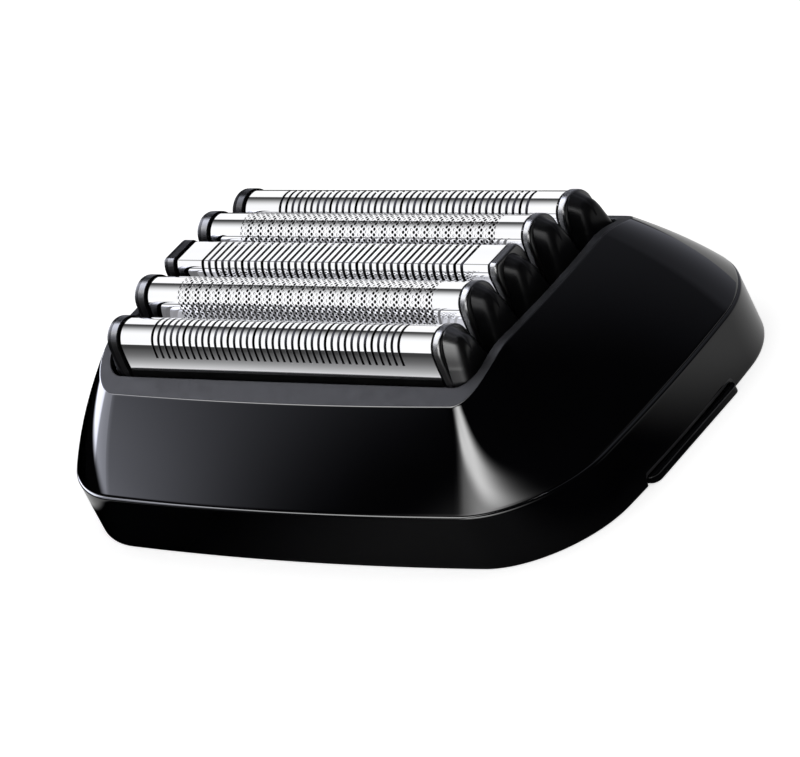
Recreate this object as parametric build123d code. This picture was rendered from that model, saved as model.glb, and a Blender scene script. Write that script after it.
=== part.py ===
from build123d import *
import math
import os

os.makedirs("parts", exist_ok=True)

# Millimetres. X runs along the foils, -Y is the front, +Z is up.
# The origin is the middle of the skirt's lower edge plane.

# Clearances
slide_gap = 0.15
side_gap = 0.25
foil_travel = 1.5
blade_stroke = 1.0
button_travel = 1.0

# Foil rows
row_pitch = 5.0
row_y = [(i - 2) * row_pitch for i in range(5)]
foil_half_length = 19.83
foil_half_width = 2.1
foil_sheet = 0.2
foil_low_z = 15.1
arch_facets = 5
outer_arch_rise = 1.9
inner_arch_rise = 2.9
arch_mid_z = {
    0: foil_low_z + outer_arch_rise,
    1: foil_low_z + inner_arch_rise,
    3: foil_low_z + inner_arch_rise,
    4: foil_low_z + outer_arch_rise,
}
flat_half_width = 2.0
flat_rise = 4.65
flat_top_z = foil_low_z + flat_rise
flat_shoulder = 0.5
flat_shoulder_drop = 2 * flat_shoulder
slot_pitch = 0.826
slot_width = 0.30
slot_count = 39
slot_low_z = foil_low_z + 1.3
flat_slot_pitch = 0.875
flat_slot_count = 38
flat_slot_low_z = flat_top_z - 1.5
hole_side = 0.62
hole_pitch = 2.67
hole_columns = 12

# Carriers, measured from the end of the foil and from its lower edge
collar_over = 0.15
collar_length = 1.1
nose_length = 2.92
nose_end = foil_half_length + nose_length
nose_inset = 0.65
nose_low_z = foil_low_z - 1.7
carrier_low_z = foil_low_z - 2.5
upstand_top_z = foil_low_z + 0.9
rail_inner = 1.4
leg_x0 = foil_half_length + 0.37
leg_x1 = leg_x0 + 1.7
hook_x1 = leg_x1 + 0.7
hook_height = 0.7
leg_low_z = carrier_low_z - 3.0
leg_half_width = 1.2

# Plan outlines: half length, half width, corner radius, bow of the short side, bow of the long side
opening_x = nose_end + 1.34
opening_y = row_y[-1] + foil_half_width + 0.46
opening_plan = (opening_x, opening_y, 2.3, 0.030, 0.004)
crest_plan = (opening_x + 0.41, opening_y - 0.86, 2.4, 0.014, 0.004)
brow_plan = (opening_x + 2.77, opening_y + 1.63, 3.6, 0.018, 0.010)
flank_plan = (opening_x + 5.86, opening_y + 4.69, 6.6, 0.028, 0.036)
crease_plan = (opening_x + 8.61, opening_y + 7.77, 9.4, 0.039, 0.063)
skirt_plan = (crease_plan[0] + 0.20, crease_plan[1] + 0.09, 9.6, 0.039, 0.063)
deck_plan = (crease_plan[0] - 3.7, crease_plan[1] - 3.73, 6.5, 0.030, 0.045)
crease_z = 5.83
flank_z = crease_z + 4.17
crest_z = foil_low_z + 1.8
brow_floor_z = foil_low_z - 2.2
wall = 1.7
skirt_wall = 1.6
seam_bevel = 0.18
# Height of the rim, seen from the short side, as steps from the opening's edge and from the foil's lower edge
rim_steps = [(-5.16, 1.17), (-3.16, 0.92), (-1.56, 0.28), (0.04, -0.57), (1.64, -1.40), (4.94, -2.90)]
rim_curve = [(opening_y + dy, foil_low_z + dz) for dy, dz in rim_steps]

# Cutters
holder_half_length = foil_half_length - 3.33
holder_half_width = 1.0
holder_low_z = carrier_low_z + 0.6
holder_top_z = upstand_top_z
blade_radius = foil_half_width - 0.44
blade_thickness = 0.45
blade_drop = 0.7
flat_blade_low_z = holder_top_z + 0.6
spine_half_width = 0.7
fine_blade_pitch = 1.335
fine_blade_count = 24
coarse_blade_pitch = 3.0
coarse_blade_count = 11

# Chassis and drive
deck_low_z = crease_z + 0.37
deck_top_z = deck_low_z + 1.2
catch_x1 = hook_x1 + 1.0
catch_half_width = opening_y - 0.16
catch_top_z = leg_low_z + 2.0
window_x = foil_half_length - 6.83
window_half_length = 6.0
window_half_width = 2 * row_pitch
yoke_half_length = 3.0
yoke_half_width = row_y[-1] + 2.2
yoke_low_z = deck_top_z + slide_gap
yoke_top_z = yoke_low_z + 1.25
keeper_half_length = 2 * yoke_half_length
keeper_lip = 0.7
post_radius = 0.45
post_top_z = holder_low_z + 0.8
socket_low_z = deck_low_z - 2.4
socket_half_width = 2.0
drive_bore_radius = 1.1
drive_bore_depth = 3.0
spring_wire = 0.3
spring_radius = 0.75
spring_turns = 3
screw_x = catch_x1 + 3.6
screw_y = 8.6
screw_radius = 0.7
screw_head_radius = 1.4
screw_head_height = 0.8
screw_depth = 2.6
boss_radius = 1.7

# Release buttons, measured from the skirt's short side
tab_half_length = 6.9
tab_low_z = 0.05
tab_top_z = 0.72
tab_out_x = skirt_plan[0] + 0.6
notch_half_length = tab_half_length + side_gap
notch_top_z = tab_top_z + side_gap
plate_half_length = tab_half_length + 1.3
plate_top_z = 4.4
plate_x0 = skirt_plan[0] - 3.0
plate_x1 = plate_x0 + 0.9
guide_x0 = plate_x0 - 1.5
guide_height = plate_top_z + 0.7
guide_floor = 0.5
spring_post_x = plate_x0 - 2.6
spring_post_half_width = 3.0
button_spring_radius = 1.1
button_spring_z = 2.6


def plan(sizes, z, inset=0.0):
    """Flat outline with gently bowed sides and rounded corners."""
    hx, hy, r, kx, ky = sizes
    hx, hy, r = hx - inset, hy - inset, max(r - 0.6 * inset, 0.5)
    cx, cy = hx * (1 - kx), hy * (1 - ky)
    p = [(cx, -cy), (hx, 0), (cx, cy), (0, hy), (-cx, cy), (-hx, 0), (-cx, -cy), (0, -hy)]
    sides = [ThreePointArc(p[i], p[i + 1], p[(i + 2) % 8]) for i in (0, 2, 4, 6)]
    face = make_face(Curve() + sides)
    return Pos(0, 0, z) * fillet(face.vertices(), r)


def block(x0, x1, y0, y1, z0, z1):
    """Box between two corners."""
    return Pos((x0 + x1) / 2, (y0 + y1) / 2, (z0 + z1) / 2) * Box(x1 - x0, y1 - y0, z1 - z0)


def rod(x, y, z0, z1, r, sides=8):
    """Upright post with flat sides, its corners on a circle."""
    return extrude(Pos(x, y, z0) * RegularPolygon(r, sides), z1 - z0)


def along_x(points, x0, x1):
    """Prism along X from a closed outline of (y, z) points."""
    face = make_face(Polyline(*points, close=True))
    return Pos(x0, 0, 0) * extrude(Plane.YZ * face, x1 - x0)


def across_y(points, y0, y1):
    """Prism along Y from a closed outline of (x, z) points."""
    face = make_face(Polyline(*points, close=True))
    solid = extrude(Plane.XZ * face, y1 - y0)
    return Pos(0, y1, 0) * solid


def both_ends(solid):
    """A solid and its twin on the other end."""
    return [solid, mirror(solid, about=Plane.YZ)]


def arch(half_width, mid_z, low_z):
    """Upturned U outline made of flat strips."""
    turns = [math.pi * i / arch_facets for i in range(arch_facets + 1)]
    crown = [(half_width * math.cos(a), mid_z + half_width * math.sin(a)) for a in turns]
    return [(half_width, low_z)] + crown + [(-half_width, low_z)]


def flat_top(half_width, top_z, shoulder, low_z):
    """Outline with straight sides, steep bevelled shoulders and a flat top."""
    return [
        (half_width, low_z),
        (half_width, top_z - flat_shoulder_drop),
        (half_width - shoulder, top_z),
        (shoulder - half_width, top_z),
        (-half_width, top_z - flat_shoulder_drop),
        (-half_width, low_z),
    ]


def row_outline(row, over, low_z):
    """Cross outline of one row, made wider and higher by a given amount."""
    if row == 2:
        return flat_top(flat_half_width + over, flat_top_z + over, flat_shoulder, low_z)
    return arch(foil_half_width + over, arch_mid_z[row], low_z)


def at_row(row, solid):
    """Move a solid from the middle row to another one."""
    return Pos(0, row_y[row], 0) * solid


def spread(count, pitch):
    """Evenly spaced places about zero."""
    return [(i - (count - 1) / 2) * pitch for i in range(count)]


def save(shape, name):
    export_step(shape, "parts/" + name + ".step")


# Upper housing: sloped flanks, arched rim, open underneath
corners = [(sx, sy) for sx in (-1, 1) for sy in (-1, 1)]
levels = [(crease_plan, crease_z), (flank_plan, flank_z), (crest_plan, crest_z)]
shell_outside = loft([plan(sizes, z) for sizes, z in levels], ruled=True)
rim_side = Spline(*rim_curve)
rim_top = Curve() + [rim_side, mirror(rim_side, about=Plane.YZ)]
near_y, near_z = rim_curve[0]
far_y, far_z = rim_curve[-1]
rim_top += Line((-near_y, near_z), (near_y, near_z))
wide_y = 1.3 * far_y
rim_top += Polyline((-far_y, far_z), (-wide_y, 0), (wide_y, 0), (far_y, far_z))
rim_body = extrude(Plane.YZ * make_face(rim_top), 2 * opening_x, both=True)
shell_inside = loft([
    plan(crease_plan, crease_z - 0.5, wall - 0.3),
    plan(flank_plan, flank_z, wall),
    plan(brow_plan, brow_floor_z, wall - 0.5),
], ruled=True)
opening = extrude(plan(opening_plan, brow_floor_z - 2), crest_z)
bosses = [rod(sx * screw_x, sy * screw_y, deck_top_z, deck_top_z + 4.6, boss_radius) for sx, sy in corners]
thread_holes = [
    rod(sx * screw_x, sy * screw_y, deck_top_z - 1, deck_top_z + screw_depth + 0.2, screw_radius + 0.05)
    for sx, sy in corners
]
shell = (shell_outside & rim_body) - shell_inside - opening
inside_bosses = [boss & shell_outside for boss in bosses]
upper_housing = shell + inside_bosses
upper_housing = upper_housing - opening - thread_holes
save(upper_housing, "upper_housing")

# Lower skirt: upright ring with a bevel under the seam, a notch and guides at both short sides
skirt_low = extrude(plan(skirt_plan, 0), crease_z - seam_bevel)
skirt_bevel = loft([plan(skirt_plan, crease_z - seam_bevel), plan(skirt_plan, crease_z, seam_bevel)], ruled=True)
skirt_hollow = extrude(plan(skirt_plan, -1, skirt_wall), crease_z + 2)
lower_skirt = skirt_low + skirt_bevel - skirt_hollow
guide_y1 = plate_half_length + 1.0
guide = block(guide_x0, skirt_plan[0], notch_half_length + 0.2, guide_y1, 0.1, guide_height)
guide -= block(guide_x0 - 1, plate_x1 + 0.7, 0, plate_half_length + side_gap, guide_floor, plate_top_z + side_gap)
guide = guide & extrude(plan(skirt_plan, 0, 0.4), crease_z)
guide_pair = [guide, mirror(guide, about=Plane.XZ)]
notch = block(guide_x0, tab_out_x + 1, -notch_half_length, notch_half_length, -1, notch_top_z)
for side in (0, 1):
    lower_skirt += [both_ends(g)[side] for g in guide_pair]
lower_skirt -= both_ends(notch)
save(lower_skirt, "lower_skirt")

# Chassis: deck with catch rails for the carriers, guides for the yoke and posts for the button springs
deck = extrude(plan(deck_plan, deck_low_z), deck_top_z - deck_low_z)
way_x = yoke_half_length + blade_stroke + 0.4
way_y = socket_half_width + side_gap
deck -= block(-way_x, way_x, -way_y, way_y, deck_low_z - 1, deck_top_z + 1)
for x in (-window_x, window_x):
    deck -= block(x - window_half_length, x + window_half_length, -window_half_width, window_half_width,
                  deck_low_z - 1, deck_top_z + 1)
catch_low_z = leg_low_z + hook_height + slide_gap
catch = block(hook_x1 + 0.2, catch_x1, -catch_half_width, catch_half_width, deck_low_z, catch_top_z)
catch += block(leg_x1 + side_gap, catch_x1, -catch_half_width, catch_half_width, catch_low_z, catch_top_z)
keeper_y = yoke_half_width + side_gap
keeper_top_z = yoke_top_z + slide_gap + 0.65
keeper = block(-keeper_half_length, keeper_half_length, keeper_y, keeper_y + 1.0, deck_low_z, keeper_top_z)
keeper += block(-keeper_half_length, keeper_half_length, keeper_y - keeper_lip, keeper_y + 1.0,
                yoke_top_z + slide_gap, keeper_top_z)
spring_post = block(spring_post_x - 1.0, spring_post_x, -spring_post_half_width, spring_post_half_width,
                    button_spring_z - 1.6, deck_top_z)
chassis = deck + both_ends(catch) + [keeper, mirror(keeper, about=Plane.XZ)] + both_ends(spring_post)
chassis -= [rod(sx * screw_x, sy * screw_y, deck_low_z - 1, deck_top_z + 1, screw_radius + 0.1) for sx, sy in corners]
save(chassis, "chassis")

# Screws: flat heads under the deck, shanks in the bosses
screws = []
for sx, sy in corners:
    screw = rod(sx * screw_x, sy * screw_y, deck_low_z, deck_top_z + screw_depth, screw_radius)
    screw += rod(sx * screw_x, sy * screw_y, deck_low_z - screw_head_height, deck_low_z, screw_head_radius)
    screws.append(screw)
save(Compound(children=screws), "chassis_screws")

# Foils: thin folded sheets, slotted over the crown or perforated
for row in range(5):
    outside = along_x(row_outline(row, 0, foil_low_z), -foil_half_length, foil_half_length)
    inside = along_x(row_outline(row, -foil_sheet, foil_low_z - 1), -foil_half_length - 1, foil_half_length + 1)
    foil = outside - inside
    cuts = []
    if row in (0, 4):
        places = spread(slot_count, slot_pitch)
        cuts = [block(x - slot_width / 2, x + slot_width / 2, -row_pitch, row_pitch, slot_low_z, slot_low_z + row_pitch)
                for x in places]
    if row == 2:
        places = spread(flat_slot_count, flat_slot_pitch)
        cuts = [block(x - slot_width / 2, x + slot_width / 2, -row_pitch, row_pitch, flat_slot_low_z,
                      flat_slot_low_z + row_pitch) for x in places]
    if row in (1, 3):
        for strip in range(1, arch_facets - 1):
            tilt = 90 - 180 * (strip + 0.5) / arch_facets
            shift = hole_pitch / 4 if strip % 2 else -hole_pitch / 4
            peg = Pos(0, 0, foil_half_width) * Rot(0, 0, 45) * Box(hole_side, hole_side, 1.4)
            turned = Pos(0, 0, arch_mid_z[row]) * Rot(tilt, 0, 0) * peg
            cuts += [Pos(x + shift, 0, 0) * turned for x in spread(hole_columns, hole_pitch)]
    foil = foil - cuts
    save(at_row(row, foil), "foil_%d" % (row + 1))

# Carriers: two rails under the foil, a collar and a nose at both ends, hooked legs below
for row in range(5):
    half = flat_half_width if row == 2 else foil_half_width
    rail = along_x([
        (rail_inner, carrier_low_z),
        (half + collar_over, carrier_low_z),
        (half + collar_over, foil_low_z),
        (half - foil_sheet, foil_low_z),
        (half - foil_sheet, upstand_top_z),
        (rail_inner, upstand_top_z),
    ], -foil_half_length, foil_half_length)
    collar_x1 = foil_half_length + collar_length
    collar = along_x(row_outline(row, collar_over, carrier_low_z), foil_half_length, collar_x1)
    top = flat_top_z if row == 2 else arch_mid_z[row] + foil_half_width
    crown = top + collar_over - nose_inset
    nose_side = across_y([
        (collar_x1, nose_low_z),
        (collar_x1, crown + 0.1),
        (collar_x1 + 0.45, crown - 0.35),
        (collar_x1 + 1.0, crown - 0.85),
        (collar_x1 + 1.45, crown - 1.7),
        (nose_end, crown - 2.7),
        (nose_end, nose_low_z),
    ], -row_pitch, row_pitch)
    nose = along_x(row_outline(row, collar_over - nose_inset, nose_low_z), collar_x1, nose_end) & nose_side
    leg = block(leg_x0, leg_x1, -leg_half_width, leg_half_width, leg_low_z, carrier_low_z)
    hook = block(leg_x1, hook_x1, -leg_half_width, leg_half_width, leg_low_z, leg_low_z + hook_height)
    end = collar + nose + leg + hook
    carrier = both_ends(end)[0] + both_ends(end)[1] + rail + mirror(rail, about=Plane.XZ)
    save(at_row(row, carrier), "foil_carrier_%d" % (row + 1))

# Cutters: a bar with a blind socket, and a comb of blades on a spine
for row in range(5):
    holder = block(-holder_half_length, holder_half_length, -holder_half_width, holder_half_width,
                   holder_low_z, holder_top_z)
    holder -= rod(0, 0, holder_low_z - 1, post_top_z + foil_travel + 0.1, post_radius + 0.1)
    save(at_row(row, holder), "blade_holder_%d" % (row + 1))
    if row == 2:
        blade_top = flat_top_z - foil_sheet - slide_gap
        half = flat_half_width - foil_sheet - slide_gap
        blade_low = flat_blade_low_z
        profile = flat_top(half, blade_top, flat_shoulder + 0.1, blade_low)
    else:
        mid_z = arch_mid_z[row]
        blade_low = mid_z - blade_drop
        low_turn = -math.asin(blade_drop / blade_radius)
        turns = [low_turn, math.radians(52), math.radians(128), math.pi - low_turn]
        profile = [(blade_radius * math.cos(a), mid_z + blade_radius * math.sin(a)) for a in turns]
    fine = row in (1, 3)
    places = spread(fine_blade_count if fine else coarse_blade_count, fine_blade_pitch if fine else coarse_blade_pitch)
    spine_end = max(places) + blade_thickness
    pack = block(-spine_end, spine_end, -spine_half_width, spine_half_width, holder_top_z, blade_low)
    pack += [along_x(profile, x - blade_thickness / 2, x + blade_thickness / 2) for x in places]
    save(at_row(row, pack), "blade_pack_%d" % (row + 1))


def coil(z0, z1, radius, turns):
    """Coil spring of square wire with six flat sides to a turn, standing along Z."""
    steps = turns * 6
    h = spring_wire / 2
    rise = (z1 - z0 - spring_wire) / steps
    rings = []
    for i in range(steps + 1):
        a = math.radians(60 * i)
        z = z0 + h + rise * i
        ring = [(radius - h, z - h), (radius + h, z - h), (radius + h, z + h), (radius - h, z + h)]
        rings.append([Vector(r * math.cos(a), r * math.sin(a), zz) for r, zz in ring])
    faces = [Face(Wire.make_polygon(rings[0], close=True)), Face(Wire.make_polygon(rings[-1], close=True))]
    for lower, upper in zip(rings, rings[1:]):
        for k in range(4):
            n = (k + 1) % 4
            faces.append(Face(Wire.make_polygon([lower[k], lower[n], upper[n]], close=True)))
            faces.append(Face(Wire.make_polygon([lower[k], upper[n], upper[k]], close=True)))
    return Solid(Shell(faces))


# Springs under the blade holders
for row in range(5):
    spring = coil(yoke_top_z, holder_low_z, spring_radius, spring_turns)
    save(at_row(row, spring), "cutter_spring_%d" % (row + 1))

# Drive yoke: bridge plate, five posts and a socket for the shaver's drive pin
yoke = block(-yoke_half_length, yoke_half_length, -yoke_half_width, yoke_half_width, yoke_low_z, yoke_top_z)
yoke += block(-yoke_half_length, yoke_half_length, -socket_half_width, socket_half_width, socket_low_z, yoke_low_z)
yoke += [rod(0, y, yoke_top_z, post_top_z, post_radius) for y in row_y]
drive_bore = Pos(0, 0, socket_low_z) * Cylinder(drive_bore_radius, 2 * drive_bore_depth)
yoke -= drive_bore
save(yoke, "drive_yoke")

# Release buttons and the springs behind them
tab = block(plate_x0, tab_out_x, -tab_half_length, tab_half_length, tab_low_z, tab_top_z)
ends = tab.edges().filter_by(Axis.Z).group_by(Axis.X)[-1]
tab = fillet(ends, 0.8)
plate = block(plate_x0, plate_x1, -plate_half_length, plate_half_length, tab_top_z - 0.02, plate_top_z)
button = tab + plate
for solid, name in zip(both_ends(button), ("right", "left")):
    save(solid, "release_button_" + name)
lying = coil(spring_post_x, plate_x0, button_spring_radius, 3)
lying = Pos(0, 0, button_spring_z) * Rot(0, 90, 0) * lying
for solid, name in zip(both_ends(lying), ("right", "left")):
    save(solid, "button_spring_" + name)
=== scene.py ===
import bpy
import numpy as np
from mathutils import Matrix


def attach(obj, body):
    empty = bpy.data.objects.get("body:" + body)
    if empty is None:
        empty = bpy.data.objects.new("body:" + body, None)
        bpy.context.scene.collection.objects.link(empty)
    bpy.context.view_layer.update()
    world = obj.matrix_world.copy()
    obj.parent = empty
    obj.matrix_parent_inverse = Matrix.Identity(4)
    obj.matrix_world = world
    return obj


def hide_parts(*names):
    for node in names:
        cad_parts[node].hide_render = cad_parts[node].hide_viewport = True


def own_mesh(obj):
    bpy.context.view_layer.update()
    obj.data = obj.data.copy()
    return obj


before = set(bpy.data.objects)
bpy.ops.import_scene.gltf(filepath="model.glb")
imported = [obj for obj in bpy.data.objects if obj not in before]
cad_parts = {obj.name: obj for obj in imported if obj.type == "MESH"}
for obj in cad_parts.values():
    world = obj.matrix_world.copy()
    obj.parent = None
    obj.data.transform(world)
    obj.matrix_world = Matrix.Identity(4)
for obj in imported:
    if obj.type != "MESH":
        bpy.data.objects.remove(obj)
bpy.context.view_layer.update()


# Upper housing. One gloss black moulding with sloped flanks that run up to a flat rim; the rim dips
# towards the long sides and has a satin top. It is bonded to the skirt below. Lengths are in millimetres,
# and a plan gives half length, half width, corner radius and the bow of the short and long sides.
crease_z, mid_flank_z, crest_z = 5.83, 10.0, 16.9
crease_plan = (32.70, 20.33, 9.4, 0.039, 0.063)
mid_flank_plan = (29.95, 17.25, 7.1, 0.028, 0.036)
crest_plan = (24.50, 11.70, 4.0, 0.014, 0.004)
crease_lip = ((0.16, 5.83), (0.05, 5.85))
flank_shares = (0.012, 0.03, 0.08, 0.18, 0.3, 0.42, 0.54, 0.66, 0.78, 0.88, 0.94)
rim_top_z, rim_level_half, rim_fall, rim_fall_width, rim_most = 16.27, 7.4, 2.57, 6.8, 1.6
rim_round, mouth_round = 0.13, 0.18
by_rim, by_mouth, below_mouth = 0.2, 0.26, 0.4
opening_plan, well_z = (24.09, 12.56, 2.3, 0.030, 0.004), 12.9
inner_walls = (((25.3, 12.8, 4.0, 0.018, 0.010), 12.85),
               ((28.25, 15.55, 5.6, 0.028, 0.036), mid_flank_z),
               ((31.30, 18.93, 8.6, 0.039, 0.063), crease_z))


def bowed_outline(hx, hy, r, kx, ky):
    """Rounded rectangle in plan, anticlockwise from the right side. Its x shrinks by kx (y/hy)^2
    and its y by ky (x/hx)^2, so that all four sides bow outwards."""
    per_arc, per_short, per_long = 32, 128, 96
    q = np.linspace(0, np.pi / 2, per_arc + 1)[:-1]
    a, b = hx - r, hy - r
    short = np.linspace(-1, 1, per_short + 1)[:-1]
    long = np.linspace(1, -1, per_long + 1)[:-1]
    corners = ((1, 1, 0), (-1, 1, np.pi / 2), (-1, -1, np.pi), (1, -1, 1.5 * np.pi))
    arcs = [np.c_[sx * a + r * np.cos(q + t), sy * b + r * np.sin(q + t)] for sx, sy, t in corners]
    sides = [np.c_[np.full(per_short, hx), b * short], np.c_[a * long, np.full(per_long, hy)],
             np.c_[np.full(per_short, -hx), -b * short], np.c_[-a * long, np.full(per_long, -hy)]]
    p = np.vstack([part for pair in zip(sides, arcs) for part in pair])
    return np.c_[p[:, 0] * (1 - kx * (p[:, 1] / hy) ** 2), p[:, 1] * (1 - ky * (p[:, 0] / hx) ** 2)]


def put_mesh(name, points, faces, materials, face_material=None):
    """Millimetre points and faces become a smooth-shaded object at the origin, in metres."""
    mesh = bpy.data.meshes.new(name)
    mesh.from_pydata((np.asarray(points) * 0.001).tolist(), [], [tuple(f) for f in faces])
    mesh.polygons.foreach_set("use_smooth", np.ones(len(mesh.polygons), bool))
    for material in materials:
        mesh.materials.append(material)
    if face_material is not None:
        mesh.polygons.foreach_set("material_index", np.asarray(face_material, np.int32))
    mesh.update()
    piece = bpy.data.objects.new(name, mesh)
    bpy.context.scene.collection.objects.link(piece)
    return piece


def ring_quads(m, n, close):
    """Quads between m rings of n points; each ring is closed, and with close the last ring joins the first."""
    i, j = np.meshgrid(np.arange(m if close else m - 1), np.arange(n), indexing="ij")
    up, on = (i + 1) % m, (j + 1) % n
    return np.stack([i * n + j, i * n + on, up * n + on, up * n + j], -1).reshape(-1, 4)


def rim_height(y):
    """Height of the rim over the distance from the middle plane: level as far as rim_level_half, then it
    falls by rim_fall times 1.5 t^2 - 0.5 t^3, with t counted over rim_fall_width."""
    t = np.clip((np.abs(y) - rim_level_half) / rim_fall_width, 0, rim_most)
    return rim_top_z - rim_fall * (1.5 * t ** 2 - 0.5 * t ** 3)


def flank_point(z):
    """Outline of the flank at height z: a parabola in z through the outlines at crease, mid flank and crest."""
    levels = crease_z, mid_flank_z, crest_z
    outlines = [bowed_outline(*plan) for plan in (crease_plan, mid_flank_plan, crest_plan)]
    weights = []
    for k in range(3):
        others = [v for v in range(3) if v != k]
        weights.append(np.prod([(z - levels[v]) / (levels[k] - levels[v]) for v in others], axis=0))
    xy = sum(w[:, None] * o for w, o in zip(weights, outlines))
    return np.c_[xy, z]


def lift(xy, z):
    """Plan points at one height, or at a height each."""
    return np.c_[xy, np.broadcast_to(z, len(xy))]


def toward(a, b, length):
    """Points that lie the given length from a on the way to b."""
    d = b - a
    return a + d * (length / np.linalg.norm(d, axis=1))[:, None]


def rounded_edge(before, corner, after, radius, steps=5):
    """Rings round an edge: a parabola from radius before the corner to radius after it."""
    p, q = toward(corner, before, radius), toward(corner, after, radius)
    return [(1 - t) ** 2 * p + 2 * t * (1 - t) * corner + t ** 2 * q for t in np.linspace(0, 1, steps)]


def make_grain():
    """Node group for surfaces with a little life in them. Coarse noise gives a tone from 0 to 1 and a
    roughness between two values, noise at the full scale gives a height."""
    group = bpy.data.node_groups.new("surface grain", "ShaderNodeTree")
    for name in ("Vector", "Scale", "Smooth", "Rough"):
        kind = "NodeSocketVector" if name == "Vector" else "NodeSocketFloat"
        group.interface.new_socket(name, in_out="INPUT", socket_type=kind)
    for name in ("Tone", "Roughness", "Height"):
        group.interface.new_socket(name, in_out="OUTPUT", socket_type="NodeSocketFloat")
    inside, join = group.nodes, group.links
    enter, leave = inside.new("NodeGroupInput"), inside.new("NodeGroupOutput")
    fine, coarse = inside.new("ShaderNodeTexNoise"), inside.new("ShaderNodeTexNoise")
    wider = inside.new("ShaderNodeMath")
    wider.operation = "MULTIPLY"
    wider.inputs[1].default_value = 0.12
    join.new(enter.outputs["Scale"], wider.inputs[0])
    join.new(enter.outputs["Scale"], fine.inputs["Scale"])
    join.new(wider.outputs[0], coarse.inputs["Scale"])
    for noise in (fine, coarse):
        join.new(enter.outputs["Vector"], noise.inputs["Vector"])
    tone, rough = inside.new("ShaderNodeMapRange"), inside.new("ShaderNodeMapRange")
    tone.inputs["From Min"].default_value, tone.inputs["From Max"].default_value = 0.3, 0.7
    join.new(coarse.outputs[0], tone.inputs["Value"])
    join.new(tone.outputs["Result"], rough.inputs["Value"])
    join.new(enter.outputs["Smooth"], rough.inputs["To Min"])
    join.new(enter.outputs["Rough"], rough.inputs["To Max"])
    join.new(tone.outputs["Result"], leave.inputs["Tone"])
    join.new(rough.outputs["Result"], leave.inputs["Roughness"])
    join.new(fine.outputs[0], leave.inputs["Height"])
    return group


surface_grain = make_grain()


def grained(name, dark, light, smooth, rough, scale, depth, stretch=(1, 1, 1)):
    """Material whose colour lies between dark and light and whose roughness between smooth and rough, by the
    grain's tone; depth is the height of the grain in metres, and stretch draws the grain out into streaks."""
    material = bpy.data.materials.new(name)
    material.use_nodes = True
    nodes, links = material.node_tree.nodes, material.node_tree.links
    shader, grain, mix = nodes["Principled BSDF"], nodes.new("ShaderNodeGroup"), nodes.new("ShaderNodeMix")
    place, turned = nodes.new("ShaderNodeTexCoord"), nodes.new("ShaderNodeMapping")
    turned.inputs["Scale"].default_value = stretch
    grain.node_tree = surface_grain
    for socket, value in (("Scale", scale), ("Smooth", smooth), ("Rough", rough)):
        grain.inputs[socket].default_value = value
    mix.data_type = "RGBA"
    mix.inputs["A"].default_value, mix.inputs["B"].default_value = (*dark, 1), (*light, 1)
    links.new(place.outputs["Object"], turned.inputs["Vector"])
    links.new(turned.outputs["Vector"], grain.inputs["Vector"])
    links.new(grain.outputs["Tone"], mix.inputs["Factor"])
    links.new(mix.outputs["Result"], shader.inputs["Base Color"])
    if rough:
        links.new(grain.outputs["Roughness"], shader.inputs["Roughness"])
    if depth:
        bump = nodes.new("ShaderNodeBump")
        bump.inputs["Distance"].default_value = depth
        links.new(grain.outputs["Height"], bump.inputs["Height"])
        links.new(bump.outputs["Normal"], shader.inputs["Normal"])
    return material, shader


def black_plastic(name, light, smooth, rough, specular, scale, depth=0, ior=1.5):
    """Black moulded plastic, from polished to satin."""
    dark = tuple(0.6 * v for v in light)
    material, shader = grained(name, dark, light, smooth, rough, scale, depth)
    shader.inputs["IOR"].default_value = ior
    shader.inputs["Specular IOR Level"].default_value = specular
    return material


housing_gloss = black_plastic("housing gloss", (0.0013, 0.0013, 0.0018), smooth=0.020, rough=0.028,
                              specular=0.5, scale=900)
rim_satin = black_plastic("rim satin", (0.012, 0.012, 0.013), smooth=0.46, rough=0.54, specular=0.078,
                          scale=9000, depth=0.000004)

foot = bowed_outline(*crease_plan)
# The rim's height follows from its y and its y from its height, so a first guess is settled in a few rounds.
rim_z = np.full(len(foot), 15.0)
for _ in range(25):
    rim_z = rim_height(flank_point(rim_z)[:, 1])
rim_edge = flank_point(rim_z)
lip = [lift(foot * (1 - inset / crease_plan[0]), z) for inset, z in crease_lip]
flank = [flank_point(crease_z + (rim_z - crease_z) * share) for share in flank_shares]
opening = bowed_outline(*opening_plan)
mouth = lift(opening, rim_height(opening[:, 1]))
well = lift(opening, well_z)
outer_round = rounded_edge(flank[-1], rim_edge, mouth, rim_round)
inner_round = rounded_edge(rim_edge, mouth, well, mouth_round)
rings = [*lip, *flank, toward(rim_edge, flank[-1], by_rim), *outer_round, toward(rim_edge, mouth, by_rim),
         (rim_edge + mouth) / 2, toward(mouth, rim_edge, by_mouth), *inner_round,
         toward(mouth, well, below_mouth), well, *(lift(bowed_outline(*plan), z) for plan, z in inner_walls)]
rim_start = len(lip) + len(flank) + 1 + len(outer_round)
satin_rings = np.zeros(len(rings), int)
satin_rings[rim_start - 3:rim_start + 3 + len(inner_round)] = 1
upper_housing = put_mesh("upper_housing_skin", np.vstack(rings), ring_quads(len(rings), len(foot), True),
                         [housing_gloss, rim_satin], np.repeat(satin_rings, len(foot)))
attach(upper_housing, "head")
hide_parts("upper_housing")


# Lower skirt. An upright gloss black ring, moulded with a fine bevel along its upper edge and a notch with
# round corners in each short side, where a release tab stands. Along the notch's edge runs a lighter satin
# line, a painted highlight.
skirt_half_x, skirt_half_y, skirt_corner, skirt_bow = 32.90, 20.42, 9.6, (0.039, 0.063)
notch_half, notch_corner, notch_foot_z, notch_corner_z = 6.75, 0.4, 0.34, 0.5
short_side_x = 29


def skirt_outline(inset):
    """Skirt outline moved inwards by the inset."""
    return bowed_outline(skirt_half_x - inset, skirt_half_y - inset, skirt_corner - inset, *skirt_bow)


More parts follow.
